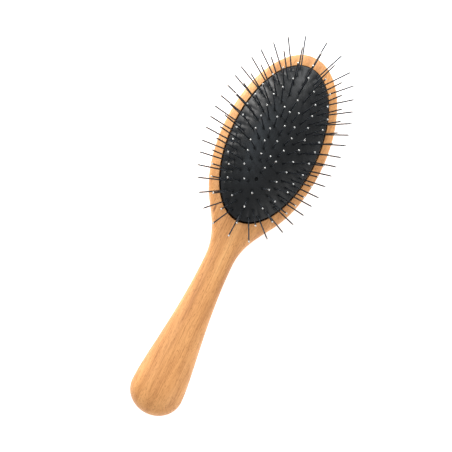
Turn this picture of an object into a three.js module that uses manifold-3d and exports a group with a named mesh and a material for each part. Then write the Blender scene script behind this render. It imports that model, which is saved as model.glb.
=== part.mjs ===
// A wooden hair brush with an air-cushioned oval head and round wire pins.
// Millimetres. +X runs along the brush to the tip of its head, +Z out through the pins.
// The origin is on the flat of the back, straight below the middle of the rubber cushion.
import * as THREE from "three";
import { mergeVertices } from "three/addons/utils/BufferGeometryUtils.js";
import Module from "manifold-3d";

// ---- driving dimensions -------------------------------------------------

// Plan of the wood: an egg-shaped head, a slim neck and a grip that swells to a round end.
const HEAD = { front: 53.2, rear: 53.4, halfWidth: 29, blendX: -38 };
const NECK = { x: -69, halfWidth: 7.7 };
const GRIP = { widestX: -145, halfWidth: 14.3, endX: -158 };

// How far the outline runs straight on past each end of its two curved stretches.
const GRIP_CURVE = { fromGrip: 14, fromNeck: 33 };
const NECK_CURVE = { fromNeck: 14, fromHead: 9 };

// Where the section turns from the head's to the neck's, and from the neck's to the grip's.
const SECTION_BLEND = { headX: HEAD.blendX + 8, neckX: NECK.x - 4, gripX: GRIP.widestX + 18 };

// Height of the wood over its resting plane, and how square its sections are.
const FACE_Z = 16;
const HEAD_SECTION = { seamZ: 10, topZ: FACE_Z, bottomZ: -0.8, topPower: 6, bottomPower: 2.5 };
const NECK_SECTION = { seamZ: 8.8, topZ: 15.6, bottomZ: 2.2, topPower: 2.7, bottomPower: 2.2 };
const GRIP_SECTION = { seamZ: 8.2, topZ: 17, bottomZ: -0.5, topPower: 2.4, bottomPower: 2.2 };
const TIP_ROUNDING = { facePower: 6, backPower: 3 };
const END_ROUNDING = { length: 19, power: 2.3 };

// The rubber cushion's oval, its dome and the bead around its edge.
const CUSHION = { halfLength: 46, halfWidth: 24 };
const DOME = { rimHeight: 1.1, rise: 7.6, power: 2.6, wall: 1.2 };
const SKIRT = { depth: 2.8, beadHeight: 1.2, beadOut: 1.2 };
const VENT = { x: -23, y: 0.9, radius: 0.8 };
const GAP = 0.35;
const HOLE_SPREAD = Math.SQRT2; // a square hole's corner over its half width
const HOLE_LENGTH = 5;
const RECESS_DEPTH = 8;

// Round steel pins in oval rings, from the edge of the cushion inwards, each ring leaning out by
// its own angle in degrees. A ring's first pin stands off the long axis by a share of the space
// between two pins.
const PIN = { radius: 0.5, length: 20.7, headRadius: 1.15, headHeight: 0.7, headBelow: 2.5 };
const RINGS = [
  { pins: 40, groups: 10, alongShare: 0.955, acrossShare: 0.886, turn: -0.16, lean: 45 },
  { pins: 34, groups: 8, alongShare: 0.859, acrossShare: 0.759, turn: -0.14, lean: 33 },
  { pins: 28, groups: 7, alongShare: 0.752, acrossShare: 0.585, turn: -0.1, lean: 21 },
  { pins: 22, groups: 6, alongShare: 0.64, acrossShare: 0.377, turn: -0.06, lean: 11 },
  { pins: 12, groups: 4, alongShare: 0.407, acrossShare: 0.195, turn: -0.02, lean: 3.5 },
];
const MIDDLE_ROW = { pins: 4, alongShare: 0.255, lean: 3.4 };

// Use has set the cushion to its +Y side: pins there lean this share further, and less opposite.
const SIDE_SET = 0.14;

// How finely curved surfaces are cut.
const SECTION_SIDES = 24;
const OVAL_SIDES = 36;
const PIN_SIDES = 5;
const HOLE_SIDES = 4;
const OUTLINE_STEPS = { end: 5, grip: 7, blend: 6, rear: 4, front: 9 };
const DOME_STEPS = [0.36, 0.62, 0.83, 1];
const ARC_STEPS = 720;
const MERGE_DISTANCE = 1e-4;
const NO_WIDTH = 1e-6;

// ---- materials ----------------------------------------------------------

const beech = new THREE.MeshStandardMaterial({ color: 0xdda26a, roughness: 0.55, metalness: 0 });
const rubber = new THREE.MeshStandardMaterial({ color: 0x26292b, roughness: 0.5, metalness: 0 });
const steel = new THREE.MeshStandardMaterial({ color: 0x8d9196, roughness: 0.3, metalness: 1 });

// ---- solids -------------------------------------------------------------

const wasm = await Module();
wasm.setup();

// A closed geometry as a manifold-3d solid.
function toSolid(geometry) {
  const bare = geometry.clone();
  bare.deleteAttribute("normal");
  bare.deleteAttribute("uv");
  const merged = mergeVertices(bare, MERGE_DISTANCE);
  const corners = merged.index.array;
  const triangles = [];
  for (let i = 0; i < corners.length; i += 3) {
    const [a, b, c] = corners.slice(i, i + 3);
    if (a !== b && b !== c && c !== a) triangles.push(a, b, c);
  }
  return new wasm.Manifold(
    new wasm.Mesh({
      numProp: 3,
      vertProperties: merged.attributes.position.array,
      triVerts: new Uint32Array(triangles),
    }),
  );
}

function toGeometry(solid) {
  const mesh = solid.getMesh();
  const geometry = new THREE.BufferGeometry();
  geometry.setAttribute("position", new THREE.BufferAttribute(mesh.vertProperties, 3));
  geometry.setIndex(new THREE.BufferAttribute(mesh.triVerts, 1));
  geometry.computeVertexNormals();
  return geometry;
}

// The surface through rows of points. A row of one point is a pole, and the first and last rows
// are poles, so the surface closes.
function skin(rows) {
  const points = rows.flat();
  const starts = [];
  rows.reduce((start, row) => (starts.push(start), start + row.length), 0);
  const triangles = [];
  for (let i = 0; i + 1 < rows.length; i++) {
    const sides = Math.max(rows[i].length, rows[i + 1].length);
    for (let j = 0; j < sides; j++) {
      const at = (row, k) => starts[row] + (rows[row].length === 1 ? 0 : k % sides);
      const [a, b, c, d] = [at(i, j), at(i + 1, j), at(i + 1, j + 1), at(i, j + 1)];
      if (b !== c) triangles.push(a, b, c);
      if (a !== d) triangles.push(a, c, d);
    }
  }
  return new THREE.BufferGeometry().setFromPoints(points).setIndex(triangles);
}

// One level of an oval: the ellipse with these half axes at this height.
function ovalRow(halfLength, halfWidth, z) {
  return Array.from({ length: OVAL_SIDES }, (_, i) => {
    const t = (2 * Math.PI * i) / OVAL_SIDES;
    return new THREE.Vector3(halfLength * Math.cos(t), halfWidth * Math.sin(t), z);
  });
}

// The cushion's oval, widened by a distance all round.
function cushionRow(out, z) {
  return ovalRow(CUSHION.halfLength + out, CUSHION.halfWidth + out, z);
}

// ---- wooden body --------------------------------------------------------

// Half of the plan outline, from the end of the grip to the tip of the head.
function planOutline() {
  const endLength = GRIP.widestX - GRIP.endX;
  const blendY = HEAD.halfWidth * Math.sqrt(1 - (HEAD.blendX / HEAD.rear) ** 2);
  const blendSlope = (-HEAD.blendX * HEAD.halfWidth ** 2) / (HEAD.rear ** 2 * blendY);
  const blendAngle = Math.acos(HEAD.blendX / HEAD.rear);
  const end = new THREE.EllipseCurve(GRIP.widestX, 0, endLength, GRIP.halfWidth, Math.PI, Math.PI / 2, true);
  const grip = new THREE.CubicBezierCurve(
    new THREE.Vector2(GRIP.widestX, GRIP.halfWidth),
    new THREE.Vector2(GRIP.widestX + GRIP_CURVE.fromGrip, GRIP.halfWidth),
    new THREE.Vector2(NECK.x - GRIP_CURVE.fromNeck, NECK.halfWidth),
    new THREE.Vector2(NECK.x, NECK.halfWidth),
  );
  const blend = new THREE.CubicBezierCurve(
    new THREE.Vector2(NECK.x, NECK.halfWidth),
    new THREE.Vector2(NECK.x + NECK_CURVE.fromNeck, NECK.halfWidth),
    new THREE.Vector2(HEAD.blendX - NECK_CURVE.fromHead, blendY - NECK_CURVE.fromHead * blendSlope),
    new THREE.Vector2(HEAD.blendX, blendY),
  );
  const rear = new THREE.EllipseCurve(0, 0, HEAD.rear, HEAD.halfWidth, blendAngle, Math.PI / 2, true);
  const front = new THREE.EllipseCurve(0, 0, HEAD.front, HEAD.halfWidth, Math.PI / 2, 0, true);
  const pieces = { end, grip, blend, rear, front };
  return Object.entries(pieces).flatMap(([name, curve], i) => {
    const points = curve.getPoints(OUTLINE_STEPS[name]);
    return i ? points.slice(1) : points;
  });
}

// Heights and squareness of the cross-section at a place along the brush.
function sectionAt(x) {
  const toNeck = THREE.MathUtils.smoothstep(-x, -SECTION_BLEND.headX, -SECTION_BLEND.neckX);
  const toGrip = THREE.MathUtils.smoothstep(-x, -SECTION_BLEND.neckX, -SECTION_BLEND.gripX);
  const section = {};
  for (const key of Object.keys(HEAD_SECTION)) {
    const front = THREE.MathUtils.lerp(HEAD_SECTION[key], NECK_SECTION[key], toNeck);
    section[key] = THREE.MathUtils.lerp(front, GRIP_SECTION[key], toGrip);
  }
  return section;
}

// Share of the full height left where the tip of the head and the end of the grip round over.
function endShare(x, tipPower) {
  const towardsTip = Math.max(0, x / HEAD.front);
  const towardsEnd = Math.max(0, (GRIP.endX + END_ROUNDING.length - x) / END_ROUNDING.length);
  const tip = Math.max(0, 1 - towardsTip ** tipPower) ** (1 / tipPower);
  const end = Math.max(0, 1 - towardsEnd ** END_ROUNDING.power) ** (1 / END_ROUNDING.power);
  return tip * end;
}

// A signed power: the rounded-square curve's rule for one of its axes.
function squared(value, power) {
  return Math.sign(value) * Math.abs(value) ** (2 / power);
}

// The cross-section's points, with the back flattened where it would pass the resting plane.
function sectionRow(x, halfWidth) {
  const s = sectionAt(x);
  const faceShare = endShare(x, TIP_ROUNDING.facePower);
  const backShare = endShare(x, TIP_ROUNDING.backPower);
  if (halfWidth < NO_WIDTH) return [new THREE.Vector3(x, 0, s.seamZ)];
  return Array.from({ length: SECTION_SIDES }, (_, i) => {
    const t = (2 * Math.PI * i) / SECTION_SIDES;
    const above = Math.sin(t) >= 0;
    const power = above ? s.topPower : s.bottomPower;
    const reach = above ? faceShare * (s.topZ - s.seamZ) : backShare * (s.seamZ - s.bottomZ);
    const z = s.seamZ + reach * squared(Math.sin(t), power);
    return new THREE.Vector3(x, halfWidth * squared(Math.cos(t), power), Math.max(z, 0));
  });
}

// The recess under the cushion, with the groove that holds the cushion's bead.
function recessCutter() {
  const beadTop = FACE_Z - SKIRT.depth + GAP;
  const beadBottom = FACE_Z - SKIRT.depth - SKIRT.beadHeight - GAP;
  const floor = FACE_Z - RECESS_DEPTH;
  const above = FACE_Z + DOME.rise;
  const wide = SKIRT.beadOut + GAP;
  return toSolid(
    skin([
      [new THREE.Vector3(0, 0, above)],
      cushionRow(GAP, above),
      cushionRow(GAP, beadTop),
      cushionRow(wide, beadTop),
      cushionRow(wide, beadBottom),
      cushionRow(GAP, beadBottom),
      cushionRow(GAP, floor),
      [new THREE.Vector3(0, 0, floor)],
    ]),
  );
}

function woodenBody() {
  const rows = planOutline().map((p) => sectionRow(p.x, p.y)).reverse();
  return toSolid(skin(rows)).subtract(recessCutter());
}

// ---- pins ---------------------------------------------------------------

// Height of the cushion's outer surface where the oval's share is rho.
function domeZ(rho) {
  return FACE_Z + DOME.rimHeight + DOME.rise * (1 - rho ** DOME.power);
}

// Angles that space points evenly along an ellipse, starting on its long axis.
function evenAngles(a, b, count) {
  const angle = (i) => (2 * Math.PI * i) / ARC_STEPS;
  const lengths = [0];
  for (let i = 1; i <= ARC_STEPS; i++) {
    const stepX = a * (Math.cos(angle(i)) - Math.cos(angle(i - 1)));
    const stepY = b * (Math.sin(angle(i)) - Math.sin(angle(i - 1)));
    lengths.push(lengths[i - 1] + Math.hypot(stepX, stepY));
  }
  return Array.from({ length: count }, (_, k) => {
    const wanted = (k * lengths[ARC_STEPS]) / count;
    const i = Math.max(1, lengths.findIndex((length) => length >= wanted));
    return angle(i - 1 + (wanted - lengths[i - 1]) / (lengths[i] - lengths[i - 1]));
  });
}

// Where a pin leaves the cushion and which way it points. It leans out square to the oval's edge.
function pinPlace(x, y, leanDegrees) {
  const along = x / CUSHION.halfLength;
  const across = y / CUSHION.halfWidth;
  const lean = THREE.MathUtils.degToRad(leanDegrees);
  const out = new THREE.Vector3(along / CUSHION.halfLength, across / CUSHION.halfWidth, 0);
  const way = out.setLength(Math.sin(lean)).setZ(Math.cos(lean));
  return { base: new THREE.Vector3(x, y, domeZ(Math.hypot(along, across))), way };
}

function ringPlaces(ring) {
  const a = ring.alongShare * CUSHION.halfLength;
  const b = ring.acrossShare * CUSHION.halfWidth;
  const turn = (2 * Math.PI * ring.turn) / ring.pins;
  return evenAngles(a, b, ring.pins).map((even) => {
    const t = even + turn;
    return pinPlace(a * Math.cos(t), b * Math.sin(t), ring.lean * (1 + SIDE_SET * Math.sin(t)));
  });
}

function middlePlaces() {
  const reach = MIDDLE_ROW.alongShare * CUSHION.halfLength;
  return Array.from({ length: MIDDLE_ROW.pins }, (_, i) => {
    const share = 1 - (2 * i) / (MIDDLE_ROW.pins - 1);
    return pinPlace(reach * share, 0, MIDDLE_ROW.lean * Math.abs(share));
  });
}

// A geometry drawn along +Y, turned to point along a pin and set on it below the cushion.
function setOnPin(geometry, place, distance) {
  const turn = new THREE.Quaternion().setFromUnitVectors(new THREE.Vector3(0, 1, 0), place.way);
  const at = place.base.clone().addScaledVector(place.way, distance);
  return geometry.applyMatrix4(new THREE.Matrix4().compose(at, turn, new THREE.Vector3(1, 1, 1)));
}

// A round wire, from inside its nail head to its tip.
function wireSolid(place) {
  const length = PIN.headBelow + PIN.headHeight / 2 + PIN.length;
  const wire = new THREE.CylinderGeometry(PIN.radius, PIN.radius, length, PIN_SIDES);
  return toSolid(setOnPin(wire, place, PIN.length - length / 2));
}

// The nail heads of neighbouring pins, joined into one strip as wide as a head.
function headStrip(places) {
  const heads = places.map((p) => p.base.clone().addScaledVector(p.way, -PIN.headBelow));
  const last = heads.length - 1;
  const rows = heads.map((head, i) => {
    const along = heads[Math.min(i + 1, last)].clone().sub(heads[Math.max(i - 1, 0)]).normalize();
    const side = new THREE.Vector3().crossVectors(places[i].way, along).setLength(PIN.headRadius);
    const down = new THREE.Vector3().crossVectors(side, along).setLength(PIN.headHeight);
    const past = (i === last) - (i === 0);
    const middle = head.clone().addScaledVector(along, past * PIN.headRadius);
    const [left, right] = [middle.clone().add(side), middle.clone().sub(side)];
    return [right, left, left.clone().add(down), right.clone().add(down)];
  });
  const centre = (row) => row.reduce((sum, p) => sum.add(p), new THREE.Vector3()).multiplyScalar(1 / row.length);
  return toSolid(skin([[centre(rows[0])], ...rows, [centre(rows[last])]]));
}

function pinGroup(places) {
  return places.map(wireSolid).reduce((whole, wire) => whole.add(wire), headStrip(places));
}

// A ring's pins in neighbouring groups of nearly equal size.
function split(places, groups) {
  const cut = (i) => Math.round((i * places.length) / groups);
  return Array.from({ length: groups }, (_, i) => places.slice(cut(i), cut(i + 1)));
}

// ---- rubber cushion -----------------------------------------------------

// A clearance hole through the rubber, for a pin or the vent.
function holeSolid(place, radius) {
  const hole = new THREE.CylinderGeometry(radius, radius, HOLE_LENGTH, HOLE_SIDES);
  return toSolid(setOnPin(hole, place, 0));
}

function cushionShell() {
  const beadTop = FACE_Z - SKIRT.depth;
  const beadBottom = beadTop - SKIRT.beadHeight;
  const { halfLength, halfWidth } = CUSHION;
  const outer = DOME_STEPS.map((rho) => ovalRow(rho * halfLength, rho * halfWidth, domeZ(rho)));
  const inner = DOME_STEPS.map((rho) =>
    ovalRow(rho * (halfLength - DOME.wall), rho * (halfWidth - DOME.wall), domeZ(rho) - DOME.wall),
  );
  return toSolid(
    skin([
      [new THREE.Vector3(0, 0, domeZ(0))],
      ...outer,
      cushionRow(0, beadTop),
      cushionRow(SKIRT.beadOut, beadTop),
      cushionRow(SKIRT.beadOut, beadBottom),
      cushionRow(-DOME.wall, beadBottom),
      ...inner.reverse(),
      [new THREE.Vector3(0, 0, domeZ(0) - DOME.wall)],
    ]),
  );
}

function rubberCushion(places) {
  const holes = places.map((place) => holeSolid(place, (PIN.radius + GAP) * HOLE_SPREAD));
  const vent = holeSolid(pinPlace(VENT.x, VENT.y, 0), VENT.radius);
  return [...holes, vent].reduce((whole, hole) => whole.subtract(hole), cushionShell());
}

// ---- assembly -----------------------------------------------------------

const brush = new THREE.Group();

function addPart(name, solid, material) {
  const mesh = new THREE.Mesh(toGeometry(solid), material);
  mesh.name = name;
  brush.add(mesh);
}

const rings = RINGS.map(ringPlaces);
const middle = middlePlaces();

addPart("wooden_body", woodenBody(), beech);
addPart("rubber_cushion", rubberCushion([...rings.flat(), ...middle]), rubber);
rings.forEach((places, i) => {
  split(places, RINGS[i].groups).forEach((group, j) => {
    addPart(`pins_ring${i + 1}_${String(j + 1).padStart(2, "0")}`, pinGroup(group), steel);
  });
});
addPart("pins_middle_row", pinGroup(middle), steel);

export default brush;
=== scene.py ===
"""The looks of a wooden cushion hair brush: carved beech, a domed black rubber cushion and 140 steel pins.

Sizes are in millimetres in the part's own frame (+X to the tip of the head, +Z out through the pins),
and turn into metres where Blender takes them.
"""

import math

import bmesh
import bpy
import numpy as np
from mathutils import Matrix, Vector


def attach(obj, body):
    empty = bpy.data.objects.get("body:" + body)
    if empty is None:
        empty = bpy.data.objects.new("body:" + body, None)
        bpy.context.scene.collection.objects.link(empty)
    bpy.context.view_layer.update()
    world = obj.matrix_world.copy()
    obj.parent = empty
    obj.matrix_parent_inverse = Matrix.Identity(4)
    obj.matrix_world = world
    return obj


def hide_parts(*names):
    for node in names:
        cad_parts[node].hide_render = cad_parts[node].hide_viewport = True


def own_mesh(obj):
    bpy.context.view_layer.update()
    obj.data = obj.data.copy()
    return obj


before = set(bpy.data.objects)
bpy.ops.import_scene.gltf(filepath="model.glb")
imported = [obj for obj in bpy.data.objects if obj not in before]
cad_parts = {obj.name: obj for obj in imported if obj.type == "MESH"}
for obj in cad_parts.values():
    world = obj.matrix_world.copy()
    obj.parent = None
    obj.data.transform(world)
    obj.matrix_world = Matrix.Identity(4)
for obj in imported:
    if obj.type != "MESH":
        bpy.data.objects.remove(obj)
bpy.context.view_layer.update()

MM = 0.001
TINY = 1e-6

# Edges sharper than this stay crisp.
CREASE_DEGREES = {"wood": 32, "rubber": 60, "pin": 50}

# ---- shape of the wood ----------------------------------------------------

# The plan outline: an oval head, a narrow neck, and a grip that swells and ends round.
HEAD = {"front": 53.2, "rear": 53.4, "half_width": 29.0, "blend_x": -38.0}
NECK = {"x": -69.0, "half_width": 7.7}
GRIP = {"widest_x": -145.0, "half_width": 14.3, "end_x": -158.0}
# How far each end's handle reaches, in the outline's two Bezier curves.
GRIP_CURVE = {"from_grip": 14.0, "from_neck": 33.0}
NECK_CURVE = {"from_neck": 14.0, "from_head": 9.0}
OUTLINE_STEPS = {"end": 26, "grip": 60, "blend": 26, "rear": 26, "front": 64}

# The cross-section: a rounded square above the seam and another below it.
FACE_Z = 16.0
HEAD_SECTION = {"seam_z": 10.0, "top_z": FACE_Z, "bottom_z": -0.8, "top_power": 5.0, "bottom_power": 2.5}
NECK_SECTION = {"seam_z": 8.8, "top_z": 15.6, "bottom_z": 2.2, "top_power": 3.0, "bottom_power": 2.2}
GRIP_SECTION = {"seam_z": 8.2, "top_z": 17.0, "bottom_z": -0.5, "top_power": 2.5, "bottom_power": 2.2}
# Where along the brush the section is fully the head's, the neck's and the grip's.
SECTION_BLEND = {"head_x": HEAD["blend_x"] + 8, "neck_x": NECK["x"] - 4, "grip_x": GRIP["widest_x"] + 18}
# How the thickness rounds over at the tip of the head and at the end of the grip.
TIP_ROUNDING = {"face_power": 5.0, "back_power": 3.0}
END_ROUNDING = {"length": 19.0, "power": 2.3}
SECTION_SIDES = 112

# A small dark knot mark in the face of the wood, beside the cushion's handle end.
KNOT_MARK = {
    "at": (-45.0, 13.9, 14.8),
    "half_size": (2.9, 0.75, 3.0),
    "turn": 4.0,
    "colour": (0.3, 0.12, 0.045),
    "strength": 0.95,
}

# ---- shape of the cushion and its recess ----------------------------------

CUSHION = {"half_length": 46.0, "half_width": 24.0}
OVAL_SIDES = 384
RECESS_SIDES = OVAL_SIDES // 2
INSIDE_SIDES = OVAL_SIDES // 4

RECESS = {"gap": 0.5, "depth": 8.0, "bead_top": 2.45, "bead_bottom": 4.35, "bead_out": 1.55, "bevel": 0.15}
DOME = {"rim_height": 1.1, "rise": 7.6, "power": 2.6, "wall": 1.2, "rows": 110}
# The dome's outer edge lies this far inside the cushion's oval, so a dark line shows between it and the wood.
RIM_INSET = 0.4
# The edge rolls over into the recess: each row's distance out from the oval and down from the rim.
ROLLED_EDGE = [(-0.42, 0.2), (-0.5, 0.55), (-0.6, 1.1), (-0.5, 2.0)]
SKIRT_DEPTH = 3.4
# The inside of the dome: its distance under the outside, and its rows as shares of the way out.
INSIDE = {"drop": 2.4, "shares": (1, 0.8, 0.5)}
VENT = {"x": -23.0, "y": 0.9, "radius": 0.8, "depth": 2.2}

# How the pins pull the rubber in.
DIMPLE = {"depth": 0.26, "reach": 0.65}
TUFT = {"depth": 0.1, "reach": 2.0}
PUCKER = {"depth": 0.23, "width": 0.95, "length": 4.2, "past_pin": -0.6}
# The dents fade out over the dome's last rows.
DENT_FADE_ROWS = 4

# ---- shape of the pins ----------------------------------------------------

# The oval rings of pins. Sizes are shares of the cushion's, a turn is a share of the space between two
# pins, and groups are the nodes that the frame has for the ring.
RINGS = [
    {"pins": 40, "groups": 10, "along": 0.955, "across": 0.886, "turn": -0.16, "lean": 45.0},
    {"pins": 34, "groups": 8, "along": 0.859, "across": 0.759, "turn": -0.14, "lean": 33.0},
    {"pins": 28, "groups": 7, "along": 0.752, "across": 0.585, "turn": -0.1, "lean": 21.0},
    {"pins": 22, "groups": 6, "along": 0.64, "across": 0.377, "turn": -0.06, "lean": 11.0},
    {"pins": 12, "groups": 4, "along": 0.407, "across": 0.195, "turn": -0.02, "lean": 3.5},
]
MIDDLE_ROW = {"pins": 4, "along": 0.255, "lean": 3.4}
# The pins at +Y lean out this share further, and those at -Y this share less.
SIDE_SET = 0.14
SPACING_SAMPLES = 721

# A pin's length and the heights of its rows are from its foot, where it leaves the rubber.
PIN = {"radius": 0.38, "length": 20.7, "wire_rows": (10.0, 1.0)}
PIN_TIP = {"radius": 0.48, "length": 1.2, "first_angle": 0.3, "rows": 6}
# Where the rounded tip narrows to the wire.
PIN_NECK = {"tip_share": 0.97, "under_tip": 0.3, "wire_share": 1.06, "over_wire": 0.1}
# The wire swells a little between these heights over its nail head.
PIN_FOOT = {"start": 0.3, "end": 0.05, "wire_share": 1.3}
NAIL_HEAD = {"radius": 1.1, "height": 0.6, "below": 2.5, "bevel": 0.15, "top_bevel": 0.2}
PIN_SIDES = 16
STRAY = {"degrees": 1.1, "seed": 5}

# ---- floor, camera and light ----------------------------------------------

FLOOR = {"size": 6000.0, "drop": 0.2, "colour": (0.95, 0.95, 0.95, 1.0), "glow": 0.6}
CAMERA = {
    "at": (-202.5, 27.1, 955.4),
    "looks_at": (-51.4, 4.5, 16.0),
    "roll": -25.44,
    "lens": 143.36,
    "sensor": 36.0,
}
LIGHTS = {
    "key": {"at": (560, 900, 420), "size": 330, "power": 11.0, "colour": (1.0, 0.98, 0.95)},
    "sky": {"at": (260, 500, 1180), "size": 520, "power": 3.0, "colour": (0.72, 0.87, 1.0)},
    "tip": {"at": (900, 60, 630), "size": 380, "power": 5.5, "colour": (0.98, 0.99, 1.0)},
    "fill": {"at": (-400, -860, 640), "size": 900, "power": 3.5, "colour": (1.0, 0.99, 0.98)},
}
LIGHTS_AIM = (-30, 0, 10)
WORLD = {"colour": (0.97, 0.98, 1.0, 1.0), "strength": 0.66}


# ---- small mesh helpers ---------------------------------------------------


def skin(name, rows):
    """A closed mesh through rows of points, in millimetres.

    A row of one point is a pole. Beside a row with more points, a row uses each of its points several times.
    """
    points, starts, faces = [], [], []
    for row in rows:
        starts.append(len(points))
        points.extend(row)
    for i in range(len(rows) - 1):
        sides = max(len(rows[i]), len(rows[i + 1]))

        def at(row, k):
            return starts[row] + k % sides * len(rows[row]) // sides

        for j in range(sides):
            loop = [at(i, j), at(i + 1, j), at(i + 1, j + 1), at(i, j + 1)]
            faces.append(list(dict.fromkeys(loop)))
    mesh = bpy.data.meshes.new(name)
    mesh.from_pydata([tuple(MM * float(c) for c in p) for p in points], [], faces)
    mesh.update()
    obj = bpy.data.objects.new(name, mesh)
    bpy.context.scene.collection.objects.link(obj)
    return obj


def smooth_by_angle(obj, degrees):
    """Smooth shading, with edges sharper than the angle left crisp."""
    work = bmesh.new()
    work.from_mesh(obj.data)
    for face in work.faces:
        face.smooth = True
    for edge in work.edges:
        if len(edge.link_faces) == 2:
            edge.smooth = edge.calc_face_angle(0) < math.radians(degrees)
    work.to_mesh(obj.data)
    work.free()


def around(sides):
    """Angles that go once round in equal steps."""
    return np.arange(sides) * (2 * math.pi / sides)


def oval_row(half_length, half_width, z, sides):
    t = around(sides)
    return np.stack([half_length * np.cos(t), half_width * np.sin(t), np.full(sides, z)], 1)


def cushion_row(out, z, sides=OVAL_SIDES):
    """The cushion's oval at a height, widened by a distance all round."""
    return oval_row(CUSHION["half_length"] + out, CUSHION["half_width"] + out, z, sides)


def pole(z):
    return [(0.0, 0.0, z)]


# ---- materials ------------------------------------------------------------


class Shader:
    """A principled material built node by node. Constants are set on the surface's own sockets."""

    def __init__(self, name, **constants):
        self.material = bpy.data.materials.new(name)
        self.material.use_nodes = True
        self.nodes = self.material.node_tree.nodes
        self.links = self.material.node_tree.links
        self.surface = self.nodes["Principled BSDF"]
        for socket, value in constants.items():
            self.surface.inputs[socket.replace("_", " ")].default_value = value

    def put(self, socket, value):
        """Links a node's output to the socket, or sets the socket to a constant."""
        if isinstance(value, bpy.types.NodeSocket):
            self.links.new(value, socket)
        else:
            socket.default_value = value

    def node(self, kind, inputs=None, **settings):
        made = self.nodes.new(kind)
        for key, value in settings.items():
            setattr(made, key, value)
        for socket, value in (inputs or {}).items():
            self.put(made.inputs[socket], value)
        return made

    def feed(self, socket, value):
        self.put(self.surface.inputs[socket], value)

    def noise(self, stretch, detail, roughness=0.55, distortion=0.0):
        """Noise in object space, scaled along each axis so that it can run with the grain."""
        where = self.node("ShaderNodeTexCoord").outputs["Object"]
        inputs = {
            "Vector": self.node("ShaderNodeMapping", {"Vector": where, "Scale": stretch}).outputs["Vector"],
            "Scale": 1.0,
            "Detail": detail,
            "Roughness": roughness,
            "Distortion": distortion,
        }
        return self.node("ShaderNodeTexNoise", inputs).outputs["Fac"]

    def spot(self, mark):
        """The mark's strength up to half-way out in its ellipsoid, fading to 0 at the edge."""
        where = self.node("ShaderNodeTexCoord").outputs["Object"]
        inputs = {
            "Vector": where,
            "Location": [MM * c for c in mark["at"]],
            "Rotation": (0.0, 0.0, math.radians(mark["turn"])),
            "Scale": [MM * c for c in mark["half_size"]],
        }
        local = self.node("ShaderNodeMapping", inputs, vector_type="TEXTURE").outputs["Vector"]
        away = self.node("ShaderNodeVectorMath", {0: local}, operation="LENGTH").outputs["Value"]
        return self.remap(away, mark["strength"], 0.0, low=0.5, high=1.0)

    def ramp(self, factor, stops):
        made = self.node("ShaderNodeValToRGB", {"Fac": factor})
        elements = made.color_ramp.elements
        while len(elements) < len(stops):
            elements.new(0.5)
        for element, (place, colour) in zip(elements, stops):
            element.position = place
            element.color = (*colour, 1.0)
        return made.outputs["Color"]

    def remap(self, value, to_low, to_high, low=0.3, high=0.7):
        """Turns low..high into to_low..to_high. A noise lies mostly between 0.3 and 0.7."""
        inputs = {"Value": value, "From Min": low, "From Max": high, "To Min": to_low, "To Max": to_high}
        return self.node("ShaderNodeMapRange", inputs).outputs["Result"]

    def mix(self, factor, a, b, blend_type="MIX"):
        """Mixes two colours, which a Mix node has as inputs 6 and 7 and output 2. Its factor is input 0."""
        inputs = {0: factor, 6: a, 7: b}
        return self.node("ShaderNodeMix", inputs, data_type="RGBA", blend_type=blend_type).outputs[2]

    def bump(self, height, strength, depth, under=None):
        """A bump with its depth in millimetres, on top of the one under it."""
        inputs = {"Height": height, "Strength": strength, "Distance": MM * depth}
        if under is not None:
            inputs["Normal"] = under
        return self.node("ShaderNodeBump", inputs).outputs["Normal"]


def beech_material():
    """Oiled beech: long soft grain, fine dark pore streaks and short ray flecks along the brush."""
    wood = Shader("beech_wood", IOR=1.45)
    grain = wood.noise((14.0, 150.0, 90.0), detail=5.0, roughness=0.6, distortion=0.35)
    grain_stops = [
        (0.25, (0.47, 0.19, 0.064)),
        (0.45, (0.65, 0.3, 0.1)),
        (0.6, (0.78, 0.385, 0.138)),
        (0.8, (0.93, 0.545, 0.225)),
    ]
    colour = wood.ramp(grain, grain_stops)
    broad = wood.noise((9.0, 30.0, 30.0), detail=2.0, roughness=0.5, distortion=0.6)
    shade = wood.ramp(broad, [(0.3, (0.86, 0.83, 0.8)), (0.7, (1.06, 1.05, 1.04))])
    colour = wood.mix(1.0, colour, shade, "MULTIPLY")
    streaks = wood.noise((60.0, 1900.0, 1500.0), detail=3.0, roughness=0.6)
    pores = wood.ramp(streaks, [(0.35, (0.74, 0.68, 0.62)), (0.52, (1.0, 1.0, 1.0))])
    colour = wood.mix(0.9, colour, pores, "MULTIPLY")
    flecks = wood.noise((520.0, 3600.0, 2600.0), detail=1.0, roughness=0.4)
    rays = wood.ramp(flecks, [(0.3, (0.5, 0.38, 0.3)), (0.4, (1.0, 1.0, 1.0))])
    colour = wood.mix(0.65, colour, rays, "MULTIPLY")
    colour = wood.mix(wood.spot(KNOT_MARK), colour, (*KNOT_MARK["colour"], 1.0))
    wood.feed("Base Color", colour)
    wood.feed("Roughness", wood.remap(streaks, 0.52, 0.4))
    wood.feed("Normal", wood.bump(streaks, 0.25, 0.12, under=wood.bump(flecks, 0.2, 0.1)))
    return wood.material


def rubber_material():
    """Black moulded rubber: semi-matte, faintly cloudy, with a fine grain."""
    rubber = Shader("black_rubber", IOR=1.5, Specular_IOR_Level=0.3)
    clouds = rubber.noise((38.0, 38.0, 38.0), detail=4.0, roughness=0.6, distortion=0.4)
    colour = rubber.ramp(clouds, [(0.3, (0.005, 0.0056, 0.006)), (0.7, (0.009, 0.01, 0.0112))])
    rubber.feed("Base Color", colour)
    rubber.feed("Roughness", rubber.remap(clouds, 0.36, 0.46))
    grain = rubber.noise((2600.0, 2600.0, 2600.0), detail=2.0)
    rubber.feed("Normal", rubber.bump(grain, 0.18, 0.06))
    return rubber.material


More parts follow.
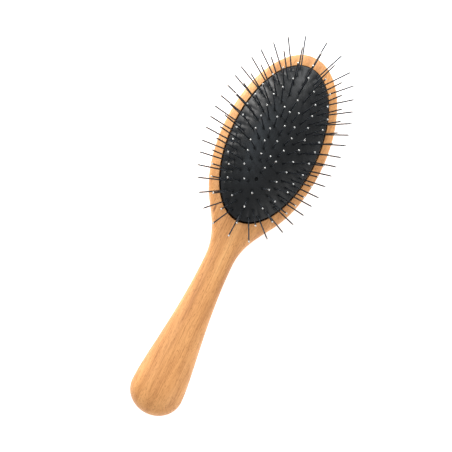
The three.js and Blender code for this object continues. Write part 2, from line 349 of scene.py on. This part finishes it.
def steel_material(name, low, high, roughness):
    """Drawn wire: metal with fine marks along its length."""
    steel = Shader(name, Metallic=1.0)
    marks = steel.noise((3000.0, 3000.0, 260.0), detail=2.0)
    steel.feed("Base Color", steel.ramp(marks, [(0.3, low), (0.7, high)]))
    steel.feed("Roughness", steel.remap(marks, roughness, roughness + 0.1))
    return steel.material


# ---- wooden body ----------------------------------------------------------


def arc(centre_x, half_length, half_width, start, end, steps):
    t = np.linspace(start, end, steps + 1)
    return np.stack([centre_x + half_length * np.cos(t), half_width * np.sin(t)], 1)


def bezier(points, steps):
    t = np.linspace(0, 1, steps + 1)[:, None]
    p0, p1, p2, p3 = (np.array(point, float) for point in points)
    return (1 - t) ** 3 * p0 + 3 * t * (1 - t) ** 2 * p1 + 3 * t**2 * (1 - t) * p2 + t**3 * p3


def plan_outline():
    """Half of the plan outline, from the end of the grip to the tip of the head."""
    quarter = math.pi / 2
    share = HEAD["blend_x"] / HEAD["rear"]
    blend_y = HEAD["half_width"] * math.sqrt(1 - share**2)
    slope = -HEAD["blend_x"] * HEAD["half_width"] ** 2 / (HEAD["rear"] ** 2 * blend_y)
    reach = NECK_CURVE["from_head"]
    grip_to_neck = [
        (GRIP["widest_x"], GRIP["half_width"]),
        (GRIP["widest_x"] + GRIP_CURVE["from_grip"], GRIP["half_width"]),
        (NECK["x"] - GRIP_CURVE["from_neck"], NECK["half_width"]),
        (NECK["x"], NECK["half_width"]),
    ]
    neck_to_head = [
        (NECK["x"], NECK["half_width"]),
        (NECK["x"] + NECK_CURVE["from_neck"], NECK["half_width"]),
        (HEAD["blend_x"] - reach, blend_y - reach * slope),
        (HEAD["blend_x"], blend_y),
    ]
    end_length = GRIP["widest_x"] - GRIP["end_x"]
    pieces = [
        arc(GRIP["widest_x"], end_length, GRIP["half_width"], math.pi, quarter, OUTLINE_STEPS["end"]),
        bezier(grip_to_neck, OUTLINE_STEPS["grip"]),
        bezier(neck_to_head, OUTLINE_STEPS["blend"]),
        arc(0, HEAD["rear"], HEAD["half_width"], math.acos(share), quarter, OUTLINE_STEPS["rear"]),
        arc(0, HEAD["front"], HEAD["half_width"], quarter, 0, OUTLINE_STEPS["front"]),
    ]
    return np.concatenate([pieces[0]] + [piece[1:] for piece in pieces[1:]])


def smoothstep(value, low, high):
    t = min(max((value - low) / (high - low), 0.0), 1.0)
    return t * t * (3 - 2 * t)


def section_at(x):
    """Heights and squareness of the cross-section at a place along the brush."""
    to_neck = smoothstep(-x, -SECTION_BLEND["head_x"], -SECTION_BLEND["neck_x"])
    to_grip = smoothstep(-x, -SECTION_BLEND["neck_x"], -SECTION_BLEND["grip_x"])
    section = {}
    for key, head_value in HEAD_SECTION.items():
        front = head_value + (NECK_SECTION[key] - head_value) * to_neck
        section[key] = front + (GRIP_SECTION[key] - front) * to_grip
    return section


def end_share(x, tip_power):
    """Share of the height left where the tip of the head and the end of the grip round over."""
    towards_tip = max(0.0, x / HEAD["front"])
    towards_end = max(0.0, (GRIP["end_x"] + END_ROUNDING["length"] - x) / END_ROUNDING["length"])
    tip = max(0.0, 1 - towards_tip**tip_power) ** (1 / tip_power)
    end = max(0.0, 1 - towards_end ** END_ROUNDING["power"]) ** (1 / END_ROUNDING["power"])
    return tip * end


def section_row(x, half_width):
    """The cross-section there, flat where the back rests at z 0, or one point at either end."""
    section = section_at(x)
    seam_z = section["seam_z"]
    if half_width < TINY:
        return [(x, 0.0, seam_z)]
    t = around(SECTION_SIDES)
    above = np.sin(t) >= 0
    power = np.where(above, section["top_power"], section["bottom_power"])
    up = end_share(x, TIP_ROUNDING["face_power"]) * (section["top_z"] - seam_z)
    down = end_share(x, TIP_ROUNDING["back_power"]) * (seam_z - section["bottom_z"])
    across = np.sign(np.cos(t)) * np.abs(np.cos(t)) ** (2 / power)
    height = np.sign(np.sin(t)) * np.abs(np.sin(t)) ** (2 / power)
    z = seam_z + np.where(above, up, down) * height
    return np.stack([np.full(SECTION_SIDES, x), half_width * across, np.maximum(z, 0)], 1)


def recess_cutter():
    """What is cut out under the cushion, with the groove for its bead and a small bevel at the mouth."""
    gap, bevel, bead_out = RECESS["gap"], RECESS["bevel"], RECESS["bead_out"]
    above, bottom = FACE_Z + DOME["rise"], FACE_Z - RECESS["depth"]
    bead_top, bead_bottom = FACE_Z - RECESS["bead_top"], FACE_Z - RECESS["bead_bottom"]
    levels = [
        (gap + bevel, above),
        (gap + bevel, FACE_Z),
        (gap, FACE_Z - 2 * bevel),
        (gap, bead_top),
        (bead_out, bead_top),
        (bead_out, bead_bottom),
        (gap, bead_bottom),
        (gap, bottom),
    ]
    rows = [cushion_row(out, z, RECESS_SIDES) for out, z in levels]
    return skin("recess_cutter", [pole(above), *rows, pole(bottom)])


def cut(obj, cutter):
    """Subtracts the cutter from the object and removes it."""
    modifier = obj.modifiers.new("cut", "BOOLEAN")
    modifier.object = cutter
    modifier.operation = "DIFFERENCE"
    modifier.solver = "EXACT"
    evaluated = obj.evaluated_get(bpy.context.evaluated_depsgraph_get())
    result = bpy.data.meshes.new_from_object(evaluated)
    obj.modifiers.clear()
    obj.data = result
    bpy.data.objects.remove(cutter)


def wooden_body():
    rows = [section_row(x, y) for x, y in plan_outline()[::-1]]
    body = skin("carved_wood", rows)
    cut(body, recess_cutter())
    smooth_by_angle(body, CREASE_DEGREES["wood"])
    body.data.materials.append(beech_material())
    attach(body, "wooden_body")
    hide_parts("wooden_body")


# ---- where the pins stand -------------------------------------------------


def dome_z(share):
    """Height of the smooth dome at a share of the way out from its middle to its rim."""
    return FACE_Z + DOME["rim_height"] + DOME["rise"] * (1 - share ** DOME["power"])


def even_angles(half_length, half_width, count):
    """Angles that space points evenly along an ellipse, starting on its long axis."""
    t = np.linspace(0, 2 * math.pi, SPACING_SAMPLES)
    steps = np.hypot(np.diff(half_length * np.cos(t)), np.diff(half_width * np.sin(t)))
    lengths = np.concatenate([[0], np.cumsum(steps)])
    return np.interp(np.arange(count) * lengths[-1] / count, lengths, t)


def pin_place(x, y, lean_degrees):
    """(foot on the cushion, direction) of the pin there. It leans out square to the oval's edge."""
    along, across = x / CUSHION["half_length"], y / CUSHION["half_width"]
    lean = math.radians(lean_degrees)
    outward = Vector((along / CUSHION["half_length"], across / CUSHION["half_width"])).normalized()
    out = outward * math.sin(lean)
    foot = Vector((x, y, dome_z(math.hypot(along, across))))
    return foot, Vector((out.x, out.y, math.cos(lean)))


def ring_places(ring):
    half_length = ring["along"] * CUSHION["half_length"]
    half_width = ring["across"] * CUSHION["half_width"]
    angles = even_angles(half_length, half_width, ring["pins"]) + 2 * math.pi * ring["turn"] / ring["pins"]
    leans = ring["lean"] * (1 + SIDE_SET * np.sin(angles))
    feet = [(half_length * math.cos(t), half_width * math.sin(t)) for t in angles]
    return [pin_place(x, y, lean) for (x, y), lean in zip(feet, leans)]


def middle_places():
    reach = MIDDLE_ROW["along"] * CUSHION["half_length"]
    last = MIDDLE_ROW["pins"] - 1
    shares = [1 - 2 * i / last for i in range(MIDDLE_ROW["pins"])]
    return [pin_place(reach * share, 0, MIDDLE_ROW["lean"] * abs(share)) for share in shares]


def grouped(places, groups):
    """(group number, place) of each pin of a ring, in the CAD's groups of neighbours."""
    cuts = [math.floor(i * len(places) / groups + 0.5) for i in range(groups + 1)]
    return [(g + 1, place) for g in range(groups) for place in places[cuts[g] : cuts[g + 1]]]


# ---- rubber cushion -------------------------------------------------------


def dome_normals(points):
    """Outward normals of the smooth dome at these points."""
    half_length, half_width = CUSHION["half_length"], CUSHION["half_width"]
    x, y = points[:, 0], points[:, 1]
    share = np.maximum(np.hypot(x / half_length, y / half_width), TINY)
    steep = DOME["rise"] * DOME["power"] * share ** (DOME["power"] - 2)
    normals = np.stack([steep * x / half_length**2, steep * y / half_width**2, np.ones(len(points))], 1)
    return normals / np.linalg.norm(normals, axis=1)[:, None]


def dome_dents(points, places, outer):
    """How far the rubber is pulled in at each point: a dimple and a soft tuft at each pin, short radial
    puckers between the outer pins and the edge, and the vent hole."""
    depth = np.zeros(len(points))
    for foot, _ in places:
        away = np.hypot(points[:, 0] - foot.x, points[:, 1] - foot.y)
        depth += DIMPLE["depth"] * np.exp(-((away / DIMPLE["reach"]) ** 2))
        depth += TUFT["depth"] * np.exp(-((away / TUFT["reach"]) ** 2))
    for foot, way in outer:
        out = np.array([way.x, way.y]) / math.hypot(way.x, way.y)
        offset = points[:, :2] - np.array([foot.x, foot.y]) - PUCKER["past_pin"] * out
        radial = offset @ out
        sideways = offset @ np.array([-out[1], out[0]])
        near = np.exp(-((sideways / PUCKER["width"]) ** 2) - (radial / PUCKER["length"]) ** 2)
        depth += PUCKER["depth"] * near
    away = np.hypot(points[:, 0] - VENT["x"], points[:, 1] - VENT["y"])
    return depth + VENT["depth"] * (away < VENT["radius"])


def cushion_rows(places, outer):
    """The dome from its top to the rim, the rolled edge, the skirt in the recess, and the inside."""
    half_length, half_width = CUSHION["half_length"] - RIM_INSET, CUSHION["half_width"] - RIM_INSET
    shares = np.linspace(0, 1, DOME["rows"] + 1)[1:]
    dome = np.concatenate([oval_row(half_length * s, half_width * s, dome_z(s), OVAL_SIDES) for s in shares])
    fade = np.minimum(np.repeat((1 - shares) * DOME["rows"] / DENT_FADE_ROWS, OVAL_SIDES), 1)
    dome = dome - dome_normals(dome) * (dome_dents(dome, places, outer) * fade)[:, None]
    rim = FACE_Z + DOME["rim_height"]
    edge = [cushion_row(out, rim - down) for out, down in ROLLED_EDGE]
    skirt = [cushion_row(out, FACE_Z - SKIRT_DEPTH) for out in (-RIM_INSET, -DOME["wall"])]
    inner_length, inner_width, drop = half_length - DOME["wall"], half_width - DOME["wall"], INSIDE["drop"]
    inside = [
        oval_row(inner_length * s, inner_width * s, dome_z(s) - drop, INSIDE_SIDES) for s in INSIDE["shares"]
    ]
    rows = [*np.split(dome, DOME["rows"]), *edge, *skirt, *inside]
    return [pole(dome_z(0)), *rows, pole(dome_z(0) - drop)]


def rubber_cushion(places, outer):
    cushion = skin("rubber_dome", cushion_rows(places, outer))
    smooth_by_angle(cushion, CREASE_DEGREES["rubber"])
    cushion.data.materials.append(rubber_material())
    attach(cushion, "wooden_body")
    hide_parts("rubber_cushion")
    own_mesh(cushion)


# ---- pins -----------------------------------------------------------------


def pin_profile():
    """(radius, height) down a pin: the rounded tip, the wire, and the flat nail head under the rubber."""
    wire, top, bulb = PIN["radius"], PIN["length"], PIN_TIP["radius"]
    widest, wire_top = top - bulb, top - PIN_TIP["length"]
    angles = np.linspace(PIN_TIP["first_angle"], math.pi / 2, PIN_TIP["rows"])
    round_end = [(bulb * math.sin(t), widest + bulb * math.cos(t)) for t in angles]
    neck = [
        (bulb * PIN_NECK["tip_share"], widest - PIN_NECK["under_tip"]),
        (wire * PIN_NECK["wire_share"], wire_top + PIN_NECK["over_wire"]),
    ]
    shaft = [(wire, height) for height in (wire_top, *PIN["wire_rows"])]
    under = -NAIL_HEAD["below"]
    foot = [(wire, under + PIN_FOOT["start"]), (wire * PIN_FOOT["wire_share"], under + PIN_FOOT["end"])]
    edge, bevel, bottom = NAIL_HEAD["radius"], NAIL_HEAD["bevel"], under - NAIL_HEAD["height"]
    head = [
        (edge - bevel, under),
        (edge, under - NAIL_HEAD["top_bevel"]),
        (edge, bottom + bevel),
        (edge - bevel, bottom),
    ]
    return [(0, top), *round_end, *neck, *shaft, *foot, *head, (0, bottom)]


def pin_mesh(materials):
    """The shared mesh of one pin, standing on the origin. Its tip takes a lighter steel: partly bare polished
    steel, partly a painted highlight.
    """
    rows = [
        oval_row(radius, radius, height, PIN_SIDES) if radius > 0 else pole(height)
        for radius, height in pin_profile()
    ]
    model = skin("pin_model", rows)
    smooth_by_angle(model, CREASE_DEGREES["pin"])
    for material in materials:
        model.data.materials.append(material)
    tip_start = MM * (PIN["length"] - PIN_TIP["length"])
    for face in model.data.polygons:
        face.material_index = int(face.center.z > tip_start)
    mesh = model.data
    bpy.data.objects.remove(model)
    return mesh


def stand_pin(mesh, name, body, place, stray):
    """One pin on its foot, turned to its direction with a little of the unevenness of a real brush."""
    foot, way = place
    bent = (way + Vector((*stray, 0))).normalized()
    pin = bpy.data.objects.new(name, mesh)
    bpy.context.scene.collection.objects.link(pin)
    pin.matrix_world = Matrix.Translation(MM * foot) @ bent.to_track_quat("Z", "Y").to_matrix().to_4x4()
    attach(pin, body)
    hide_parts(body)


def pins(rings, middle):
    wire = steel_material("pin_wire", (0.085, 0.094, 0.108), (0.165, 0.18, 0.2), roughness=0.34)
    # The tip's steel is lighter than the wire's: partly its bare polished end, partly a painted highlight on
    # the tip.
    tip = steel_material("pin_tip_steel_and_highlight", (0.4, 0.4, 0.385), (0.56, 0.56, 0.54), roughness=0.26)
    mesh = pin_mesh([wire, tip])
    draws = np.random.default_rng(STRAY["seed"])

    def stray():
        return draws.normal(0, math.radians(STRAY["degrees"]), 2)

    for i, (ring, places) in enumerate(zip(RINGS, rings), 1):
        for j, (group, place) in enumerate(grouped(places, ring["groups"]), 1):
            stand_pin(mesh, f"pin_{i}_{j:02d}", f"pins_ring{i}_{group:02d}", place, stray())
    for j, place in enumerate(middle, 1):
        stand_pin(mesh, f"pin_middle_{j}", "pins_middle_row", place, stray())


# ---- stage ----------------------------------------------------------------


def aimed(obj, at, target, roll=0.0):
    """Sets an object at a point, looking down its own -Z at a target. +X is up before it rolls."""
    place, goal = MM * Vector(at), MM * Vector(target)
    forward = (goal - place).normalized()
    up = Vector((1, 0, 0))
    up = (up - forward * up.dot(forward)).normalized()
    side = forward.cross(up)
    turn = math.radians(roll)
    up, side = up * math.cos(turn) + side * math.sin(turn), side * math.cos(turn) - up * math.sin(turn)
    axes = Matrix((side, up, -forward)).transposed()
    obj.matrix_world = Matrix.Translation(place) @ axes.to_4x4()


def camera():
    data = bpy.data.cameras.new("camera")
    data.lens = CAMERA["lens"]
    data.sensor_width = CAMERA["sensor"]
    obj = bpy.data.objects.new("camera", data)
    bpy.context.scene.collection.objects.link(obj)
    aimed(obj, CAMERA["at"], CAMERA["looks_at"], CAMERA["roll"])
    bpy.context.scene.camera = obj


def area_light(name, at, size, power, colour):
    data = bpy.data.lights.new(name, "AREA")
    data.shape = "DISK"
    data.size = MM * size
    data.energy = power
    data.color = colour
    obj = bpy.data.objects.new(name, data)
    bpy.context.scene.collection.objects.link(obj)
    aimed(obj, at, LIGHTS_AIM)


def lights():
    for name, light in LIGHTS.items():
        area_light(name, **light)
    world = bpy.data.worlds.new("studio")
    bpy.context.scene.world = world
    world.use_nodes = True
    background = world.node_tree.nodes["Background"]
    background.inputs["Color"].default_value = WORLD["colour"]
    background.inputs["Strength"].default_value = WORLD["strength"]


def floor():
    """A pale floor just under the brush. It glows a little, so that hardly a shadow shows on it."""
    bpy.ops.mesh.primitive_plane_add(size=MM * FLOOR["size"], location=(0, 0, -MM * FLOOR["drop"]))
    plane = bpy.context.active_object
    plane.name = "floor"
    pale = Shader("pale_floor", Roughness=0.9, Emission_Strength=FLOOR["glow"])
    for socket in ("Base Color", "Emission Color"):
        pale.feed(socket, FLOOR["colour"])
    plane.data.materials.append(pale.material)


# ---- the scene ------------------------------------------------------------

bpy.context.scene.view_settings.view_transform = "Standard"
camera()
lights()
floor()

rings = [ring_places(ring) for ring in RINGS]
middle = middle_places()
wooden_body()
rubber_cushion([place for ring in rings for place in ring] + middle, rings[0])
pins(rings, middle)
